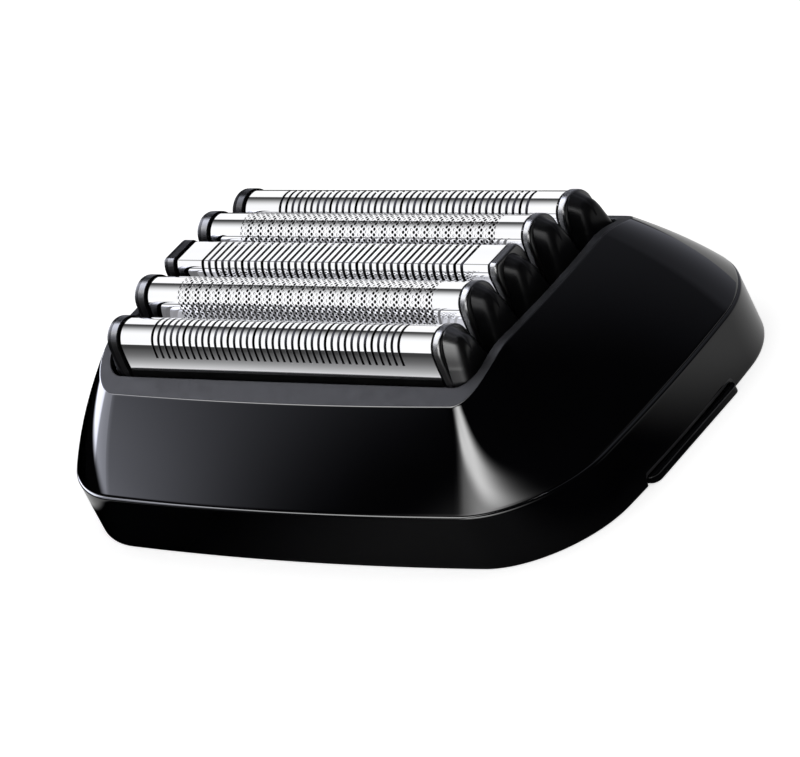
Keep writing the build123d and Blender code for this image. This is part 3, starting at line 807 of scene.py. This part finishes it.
shader = nodes["Principled BSDF"]
shader.inputs["Base Color"].default_value = (0.8, 0.8, 0.8, 1)
shader.inputs["Roughness"].default_value = 0.9
shader.inputs["Specular IOR Level"].default_value = 0.0
shader.inputs["Emission Color"].default_value = (1, 1, 1, 1)
from_camera, satin, mirror, _ = ray_kinds()
split = nodes.new("ShaderNodeSeparateXYZ")
links.new(nodes.new("ShaderNodeTexCoord").outputs["Object"], split.inputs[0])
place_x, place_y = split.outputs["X"], split.outputs["Y"]
across = [sums("POWER", sums("ABSOLUTE", sums("DIVIDE", split.outputs[axis], half)), 4)
          for axis, half in covered]
# Where the head covers the floor the camera glow is left out: a painted shadow.
open_floor = soft_step(plus(*across), covered_edge)
glow = plus(times(times(from_camera, open_floor), camera_glow), times(mirror, mirror_glow))
links.new(plus(glow, times(satin, satin_glow)), shader.inputs["Emission Strength"])
# Light patches and the bright floor near the head that reflections see: painted reflections.
behind = times(times(soft_step(place_y, behind_y), behind_level), soft_step(place_x, behind_x))
ahead = times(soft_step(place_x, ahead_left), soft_step(place_x, ahead_right))
aside = times(soft_step(place_x, aside_inner), soft_step(place_y, aside_y))
aside = times(aside, soft_step(place_x, aside_outer))
patches = plus(times(ahead, ahead_level), times(aside, aside_level))
patches = plus(behind, times(patches, less(1, behind)))
away = sums("MINIMUM", plus(place_y, near_front_y), 0)
near = times(sums("EXPONENT", sums("DIVIDE", away, near_fade)), soft_step(place_y, near_back))
dim = plus(times(satin, less(1, patches)), times(mirror, times(less(1, near), mirror_dim)))
mix = nodes.new("ShaderNodeMixShader")
unlit = nodes.new("ShaderNodeBsdfDiffuse")
unlit.inputs["Color"].default_value = (0, 0, 0, 1)
links.new(dim, mix.inputs[0])
links.new(shader.outputs[0], mix.inputs[1])
links.new(unlit.outputs[0], mix.inputs[2])
links.new(mix.outputs[0], nodes["Material Output"].inputs["Surface"])
floor = put_mesh("floor", disc, [list(range(floor_points))], [floor_white])


# Studio light: a large cool light on the left, a dim one behind, and soft white ones high up and over the front
# right corner, which only black plastic shows. Polished steel shows a wide bright studio, and the camera sees
# white. Directions are in degrees: turn goes from 0 at the left to 90 at the front, and rise is upwards.
degrees = 57.2958
left_core, left_core_level, left_tail_level = (19, 15), 7.5, 3.5
tail_start, tail_fade, tail_cut, tail_lean_from, tail_lean = 34, 2.5, (46, 37), 19, 0.035
left_low, left_low_slope, left_back_cut = (2, 5), 0.27, (-23, -19)
high_rise, high_turn, high_start, high_level = (30, 36), (48, 40), (19, 23), 9
back_far, back_far_level, back_near, back_near_level = (-141, -122), 0.28, (-122, -60), 0.25
back_cut, back_rise = (-37, -42), (-20, -10)
front_middle, front_lean_from, front_lean, front_most, front_width = 87, 27.5, 2.8, 84, 26
front_low, front_low_level, front_high, front_high_level = (-20, 14), 5.5, (26.5, 31.5), 8.5
front_top, front_cut = (39.5, 34.5), (46, 58)
ray_turn, ray_turn_width, ray_rise, ray_rise_width, ray_level = 57, 8, 30.5, 2.2, 5
wide_left, wide_front, rear_cut, rear_fall = (-21, 28), (70, 52), (-23, -26), (-140, -60)
rear_level, rear_more, bright_rise, bright_level, bright_least = 0.7, 0.3, (-0.5, 0.8), 1.05, 0.05
satin_least, diffuse_level, cool_white = 0.004, 0.7, (0.96, 0.985, 1.13, 1)

world = bpy.data.worlds.new("studio")
bpy.context.scene.world = world
world.use_nodes = True
nodes, links = world.node_tree.nodes, world.node_tree.links
background = nodes["Background"]


def bell(value, width):
    """e to the power of minus (value over width) squared."""
    ratio = sums("DIVIDE", value, width)
    return sums("EXPONENT", times(times(ratio, ratio), -1))


split = nodes.new("ShaderNodeSeparateXYZ")
links.new(nodes.new("ShaderNodeTexCoord").outputs["Generated"], split.inputs[0])
turn = times(sums("ARCTAN2", times(split.outputs["Y"], -1), times(split.outputs["X"], -1)), degrees)
rise = times(sums("ARCSINE", split.outputs["Z"]), degrees)

# The left light has a bright core and a tail that fades towards the front and leans over at the top.
over = sums("MAXIMUM", less(rise, tail_lean_from), 0)
reach = plus(turn, times(times(over, over), tail_lean))
tail = sums("EXPONENT", times(sums("MAXIMUM", less(reach, tail_start), 0), -1 / tail_fade))
tail = times(tail, soft_step(turn, tail_cut))
left = plus(times(tail, left_tail_level), times(soft_step(turn, left_core), left_core_level))
left = times(left, soft_step(less(rise, times(turn, left_low_slope)), left_low))
left = times(left, soft_step(turn, left_back_cut))
back = plus(times(soft_step(turn, back_far), back_far_level),
            times(soft_step(turn, back_near), back_near_level))
back = times(times(back, soft_step(turn, back_cut)), soft_step(rise, back_rise))

# The front light moves to the left as it rises, with a narrow ray beside it and the high light over both.
high = times(times(soft_step(rise, high_rise), soft_step(turn, high_turn)), high_level)
middle = sums("MINIMUM", less(front_middle, times(less(rise, front_lean_from), front_lean)), front_most)
level = plus(times(soft_step(rise, front_low), front_low_level),
             times(soft_step(rise, front_high), front_high_level))
front = times(bell(less(turn, middle), front_width), times(level, soft_step(rise, front_top)))
ray = times(bell(less(turn, ray_turn), ray_turn_width),
            times(bell(less(rise, ray_rise), ray_rise_width), ray_level))
front = plus(times(plus(front, ray), soft_step(turn, front_cut)), times(high, soft_step(turn, high_start)))

# What polished steel shows.
wide = times(soft_step(turn, wide_left), soft_step(turn, wide_front))
rear = times(soft_step(turn, rear_cut), plus(rear_level, times(soft_step(turn, rear_fall), rear_more)))
steel_studio = plus(times(times(plus(wide, rear), soft_step(rise, bright_rise)), bright_level), bright_least)

from_camera, satin, mirror, diffuse = ray_kinds()
studio = plus(times(plus(front, satin_least), satin), times(steel_studio, mirror))
light = plus(plus(studio, from_camera), times(diffuse, diffuse_level))
background.inputs["Color"].default_value = (1, 1, 1, 1)
links.new(light, background.inputs["Strength"])
cool = nodes.new("ShaderNodeBackground")
cool.inputs["Color"].default_value = cool_white
links.new(times(plus(left, back), satin), cool.inputs["Strength"])
both = nodes.new("ShaderNodeAddShader")
links.new(background.outputs[0], both.inputs[0])
links.new(cool.outputs[0], both.inputs[1])
links.new(both.outputs[0], nodes["World Output"].inputs["Surface"])


# Camera: a long lens that looks at the head from the right and above, and is turned a little
# about its own axis, as in the photograph.
camera_data = bpy.data.cameras.new("camera")
camera_data.sensor_fit = "HORIZONTAL"
camera_data.sensor_width = 36.0
camera_data.lens = 256.27
camera_data.clip_start = 0.01
camera_data.clip_end = 20
camera_object = bpy.data.objects.new("camera", camera_data)
bpy.context.scene.collection.objects.link(camera_object)
camera_object.matrix_world = Matrix((
    (0.72040113, -0.02434999, 0.69313006, 0.36308552),
    (0.56221140, 0.60571468, -0.56305245, -0.29517057),
    (-0.40612874, 0.79530925, 0.45004739, 0.24129443),
    (0, 0, 0, 1)))
bpy.context.scene.camera = camera_object
bpy.context.scene.view_settings.view_transform = "Standard"
